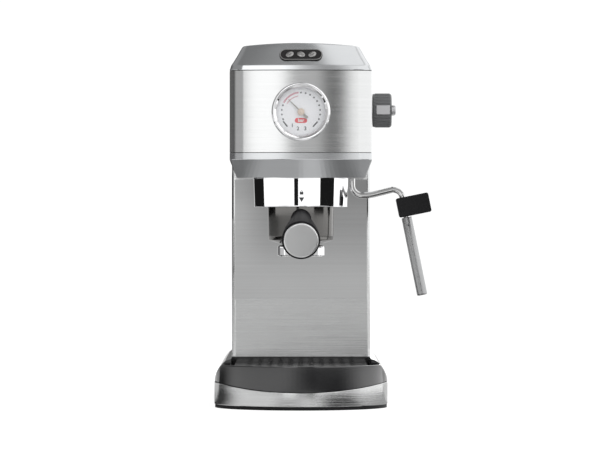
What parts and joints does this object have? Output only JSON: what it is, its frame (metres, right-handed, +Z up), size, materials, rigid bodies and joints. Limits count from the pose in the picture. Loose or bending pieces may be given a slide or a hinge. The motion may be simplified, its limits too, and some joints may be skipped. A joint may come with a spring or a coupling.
{
  "type": "espresso machine",
  "caption": "Slim pump espresso machine with a gauge in its head, a portafilter, a swivelling steam wand, a sliding drip tray and a rear water tank.",
  "frame": {"origin": "middle of the base on the surface the machine stands on, in the plane of its underside", "axes": "+Z up, -Y towards the front where the portafilter's handle points, +X to the side with the steam knob"},
  "size_m": [0.1883, 0.4283, 0.313],
  "materials": {
    "black_plastic": "fine matte moulded black",
    "rubber": "matte black rubber",
    "brushed_steel": "steel brushed along the sheet",
    "satin_steel": "satin metal cover",
    "gunmetal": "dark glossy grey",
    "chrome": "polished chrome",
    "dark_chrome": "smoked chrome",
    "steel": "plain stainless steel",
    "zinc_frame": "zinc plated sheet",
    "aluminium": "cast aluminium",
    "brass": "machined brass",
    "plaque": "dark enamelled plaque",
    "dial": "printed pale dial",
    "glass": "clear flat glass",
    "needle": "painted pointer",
    "knob_plastic": "dark grey knob",
    "copper_coil": "potted coil",
    "silicone": "translucent silicone hose",
    "ptfe": "white pressure hose",
    "circuit": "green circuit board",
    "tank_smoke": "smoky clear plastic",
    "tank_lid": "dark flap",
    "button": "satin silver cap",
    "handle_cap": "satin metal disc"
  },
  "bodies": {
    "machine": {"base_plate": "black_plastic", "cord_gland": "black_plastic", "rear_cover": "black_plastic", "control_strip": "black_plastic", "gauge_case": "black_plastic", "tank_seat": "black_plastic", "feet": "rubber", "group_gasket": "rubber", "pump_mounts": "rubber", "base_band": "brushed_steel", "tower_panel": "brushed_steel", "head_wrap": "brushed_steel", "cup_plate": "brushed_steel", "head_bottom_cover": "satin_steel", "head_top_cover": "satin_steel", "base_housing": "gunmetal", "gauge_bezel": "chrome", "group_shroud": "chrome", "base_screws": "steel", "shower_screen": "steel", "boiler_bolts": "steel", "heating_element": "steel", "thermostats": "steel", "pump_body": "steel", "chassis": "zinc_frame", "boiler_body": "aluminium", "boiler_cap": "aluminium", "group_head": "aluminium", "steam_valve": "brass", "steam_outlet": "brass", "gauge_capillary": "brass", "badge_plate": "plaque", "gauge_dial": "dial", "gauge_glass": "glass", "pump_coil": "copper_coil", "suction_hose": "silicone", "pressure_hose": "ptfe", "switch_board": "circuit", "circuit_board": "circuit"},
    "portafilter": {"portafilter_cup": "dark_chrome", "portafilter_spout": "chrome", "filter_basket": "steel", "handle_grip": "black_plastic", "handle_bolt": "steel", "handle_cap": "handle_cap"},
    "knob": {"steam_knob": "knob_plastic", "valve_spindle": "steel"},
    "wand": {"steam_pipe": "chrome", "wand_grip": "black_plastic"},
    "sleeve": {"froth_sleeve": "steel"},
    "tray": {"drip_tray": "black_plastic", "tray_front": "gunmetal"},
    "grid": {"drip_grid": "brushed_steel"},
    "tank": {"tank_body": "tank_smoke", "tank_valve": "black_plastic"},
    "lid": {"tank_lid": "tank_lid"},
    "power": {"button_power": "button"},
    "coffee": {"button_coffee": "button"},
    "steam": {"button_steam": "button"},
    "needle": {"gauge_needle": "needle"}
  },
  "joints": [
    {"name": "portafilter_turn", "type": "hinge", "parent": "machine", "child": "portafilter", "pos_m": [0, -0.106, 0.18], "axis": [0, 0, 1], "range_deg": [-45, 0]},
    {"name": "knob_turn", "type": "hinge", "parent": "machine", "child": "knob", "pos_m": [0.0622, -0.1, 0.257], "axis": [1, 0, 0], "range_deg": [0, 270]},
    {"name": "wand_swivel", "type": "hinge", "parent": "machine", "child": "wand", "pos_m": [0.0443, -0.094, 0.2], "axis": [0, 0, 1], "range_deg": [-75, 35]},
    {"name": "sleeve_slide", "type": "slide", "parent": "wand", "child": "sleeve", "axis": [0.199, 0, -0.98], "range_m": [0, 0.07]},
    {"name": "tray_slide", "type": "slide", "parent": "machine", "child": "tray", "axis": [0, -1, 0], "range_m": [0, 0.15]},
    {"name": "grid_lift", "type": "slide", "parent": "tray", "child": "grid", "axis": [0, 0, 1], "range_m": [0, 0.06]},
    {"name": "tank_lift", "type": "slide", "parent": "machine", "child": "tank", "axis": [0, 0, 1], "range_m": [0, 0.25]},
    {"name": "lid_hinge", "type": "hinge", "parent": "tank", "child": "lid", "pos_m": [0, 0.1618, 0.2866], "axis": [-1, 0, 0], "range_deg": [0, 100]},
    {"name": "power_press", "type": "slide", "parent": "machine", "child": "power", "axis": [0, 0, -1], "range_m": [0, 0.0018], "stiffness_N_per_m": 400, "springref_m": -0.001},
    {"name": "coffee_press", "type": "slide", "parent": "machine", "child": "coffee", "axis": [0, 0, -1], "range_m": [0, 0.0018], "stiffness_N_per_m": 400, "springref_m": -0.001},
    {"name": "steam_press", "type": "slide", "parent": "machine", "child": "steam", "axis": [0, 0, -1], "range_m": [0, 0.0018], "stiffness_N_per_m": 400, "springref_m": -0.001},
    {"name": "needle_turn", "type": "hinge", "parent": "machine", "child": "needle", "pos_m": [0, -0.1611, 0.2538], "axis": [0, 1, 0], "range_deg": [-75, 165], "stiffness_Nm_per_rad": 0.005}
  ]
}
